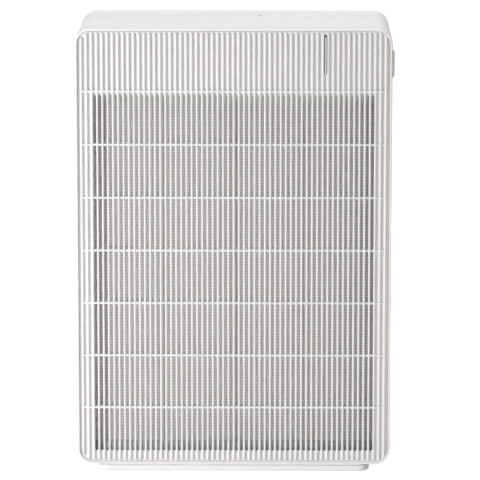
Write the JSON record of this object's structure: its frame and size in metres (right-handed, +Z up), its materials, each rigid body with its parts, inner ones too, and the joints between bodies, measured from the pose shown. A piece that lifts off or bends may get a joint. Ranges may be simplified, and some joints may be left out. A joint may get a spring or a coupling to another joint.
{
  "type": "air purifier",
  "caption": "Slim upright room air purifier with a ribbed front intake, sliding pre-filters, filter cartridge, centrifugal fan and rear outlet.",
  "frame": {"origin": "on the floor, at the middle of the footprint", "axes": "+Z up, front towards -Y, +X to the right seen from the front"},
  "size_m": [0.3332, 0.165, 0.47],
  "materials": {
    "white_plastic": "fine satin moulded ABS",
    "grey_plastic": "moulded polypropylene",
    "dark_plastic": "moulded glass-filled nylon",
    "pre_filter_plastic": "moulded polypropylene",
    "net": "woven nylon net",
    "filter_paper": "pleated glass-fibre paper",
    "carbon": "granular activated carbon",
    "foam": "closed-cell foam",
    "rubber": "matt rubber",
    "steel": "zinc-plated steel",
    "magnet": "nickel-plated magnet",
    "motor_metal": "galvanised sheet",
    "circuit_board": "solder-masked laminate",
    "milky_lens": "diffusing polycarbonate",
    "dark_lens": "smoked polycarbonate",
    "cable": "PVC sheath"
  },
  "bodies": {
    "housing": {"main_housing": "white_plastic", "rear_cover": "white_plastic", "filter_bay": "grey_plastic", "magnet_strike_left": "steel", "magnet_strike_right": "steel", "fan_guard": "dark_plastic", "inlet_bell": "dark_plastic", "motor": "motor_metal", "motor_mount": "rubber", "motor_screw_1": "steel", "motor_screw_2": "steel", "motor_screw_3": "steel", "fan_scroll": "grey_plastic", "outlet_duct": "grey_plastic", "outlet_grille": "white_plastic", "handle_cup": "white_plastic", "cord_gland": "rubber", "rear_screw_1": "steel", "rear_screw_2": "steel", "rear_screw_3": "steel", "rear_screw_4": "steel", "base_plinth": "white_plastic", "foot_front_left": "rubber", "foot_front_right": "rubber", "foot_rear_left": "rubber", "foot_rear_right": "rubber", "base_screw_1": "steel", "base_screw_2": "steel", "base_screw_3": "steel", "base_screw_4": "steel", "control_board": "circuit_board", "touch_spring_1": "steel", "touch_spring_2": "steel", "touch_spring_3": "steel", "light_sensor_lens": "dark_lens", "status_led_board": "circuit_board", "power_board": "circuit_board", "particle_sensor": "dark_plastic", "motor_cable": "cable", "control_cable": "cable"},
    "front_cover": {"front_cover_frame": "white_plastic", "front_grille": "white_plastic", "status_light_lens": "milky_lens", "pre_filter_rail_upper": "grey_plastic", "pre_filter_rail_lower": "grey_plastic", "cover_magnet_left": "magnet", "cover_magnet_right": "magnet"},
    "pre_filter_left": {"pre_filter_frame_left": "pre_filter_plastic", "pre_filter_net_left": "net"},
    "pre_filter_right": {"pre_filter_frame_right": "pre_filter_plastic", "pre_filter_net_right": "net"},
    "filter_cartridge": {"filter_frame": "filter_paper", "filter_media": "filter_paper", "carbon_layer": "carbon", "filter_gasket": "foam", "filter_pull_tab": "foam"},
    "fan_rotor": {"impeller": "dark_plastic", "motor_shaft": "steel", "hub_nut": "steel"}
  },
  "joints": [
    {"name": "cover_slide", "type": "slide", "parent": "housing", "child": "front_cover", "axis": [0, -1, 0], "range_m": [0, 0.1]},
    {"name": "filter_slide", "type": "slide", "parent": "housing", "child": "filter_cartridge", "axis": [0, -1, 0], "range_m": [0, 0.05]},
    {"name": "pre_filter_left_slide", "type": "slide", "parent": "front_cover", "child": "pre_filter_left", "axis": [-1, 0, 0], "range_m": [0, 0.155]},
    {"name": "pre_filter_right_slide", "type": "slide", "parent": "front_cover", "child": "pre_filter_right", "axis": [1, 0, 0], "range_m": [0, 0.155]},
    {"name": "fan_spin", "type": "hinge", "parent": "housing", "child": "fan_rotor", "pos_m": [0, 0.0161, 0.16925], "axis": [0, 1, 0], "continuous": true}
  ],
  "couplings": [
    {"joint": "filter_slide", "follows": "cover_slide", "ratio": 0.5}
  ]
}
